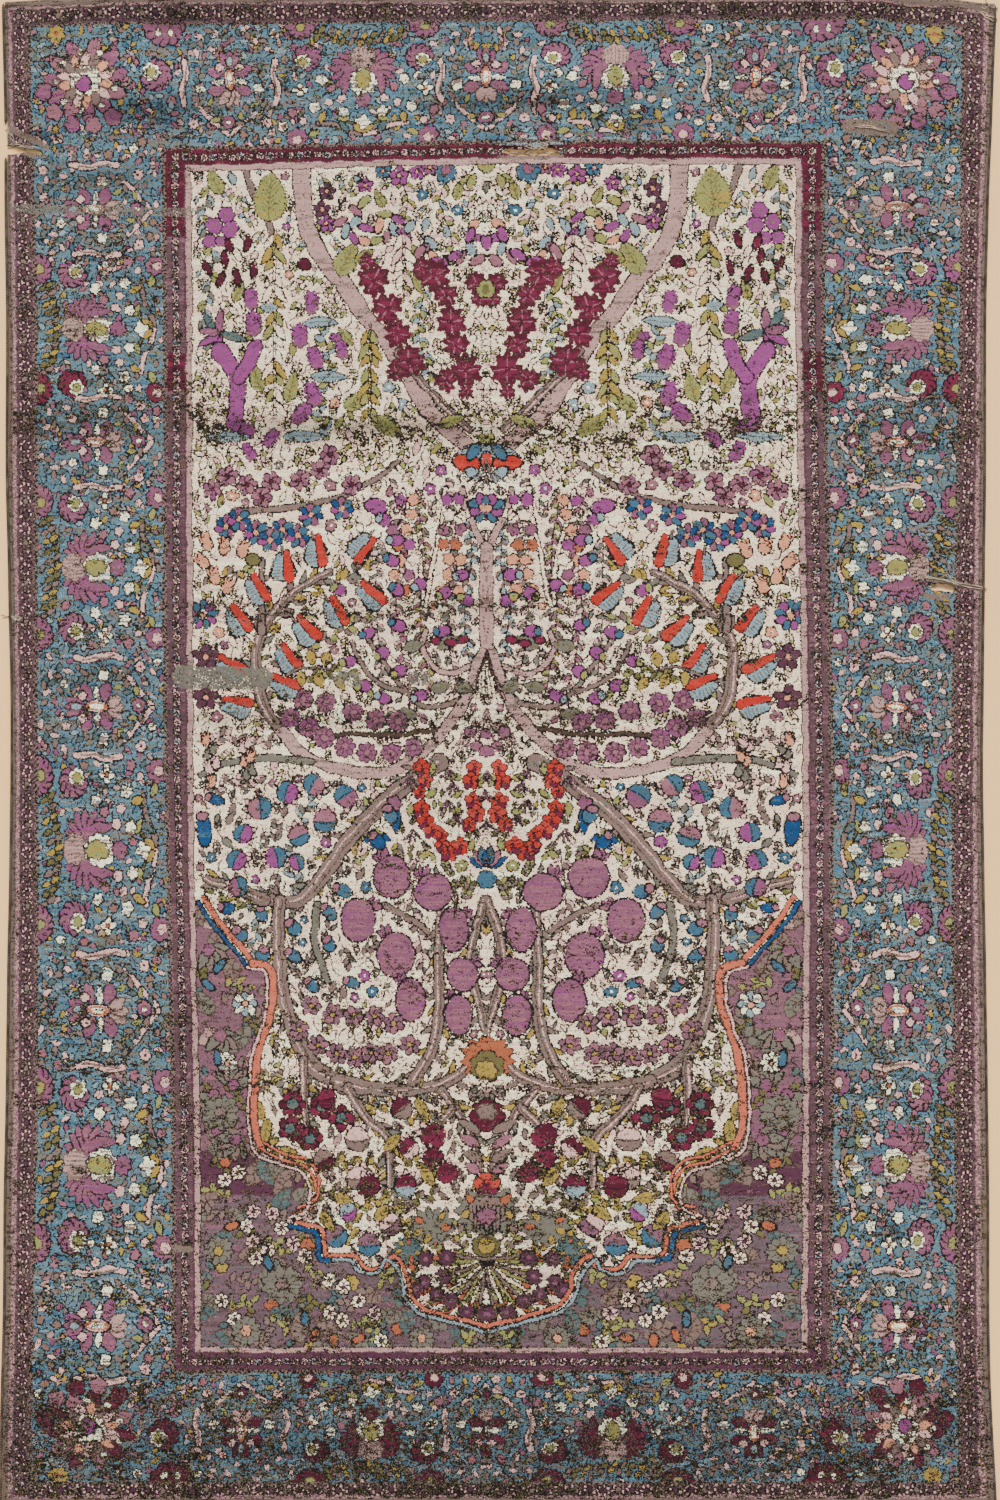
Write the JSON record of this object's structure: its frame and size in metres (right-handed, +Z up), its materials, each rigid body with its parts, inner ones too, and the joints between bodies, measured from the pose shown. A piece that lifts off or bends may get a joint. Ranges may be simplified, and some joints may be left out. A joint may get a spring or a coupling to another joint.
{
  "type": "persian rug",
  "caption": "Worn silk prayer rug with a flowering-tree field, blue floral borders and overcast sides, lying in low ripples.",
  "frame": {"origin": "under the middle of the rug, on the floor that it lies on", "axes": "+X across the rug, +Y along it to the end away from the arch's point, +Z up"},
  "size_m": [1.347, 2.0371, 0.0119],
  "materials": {
    "worn_silk_pile": "short worn silk pile with a faded many-coloured pattern, bare at the tears",
    "overcast_thread": "dark brown thread wound round the edge warps"
  },
  "bodies": {
    "root": {"rug": "worn_silk_pile", "edge_cord_left_upper": "overcast_thread", "edge_cord_left_lower": "overcast_thread", "edge_cord_right": "overcast_thread"}
  },
  "joints": []
}
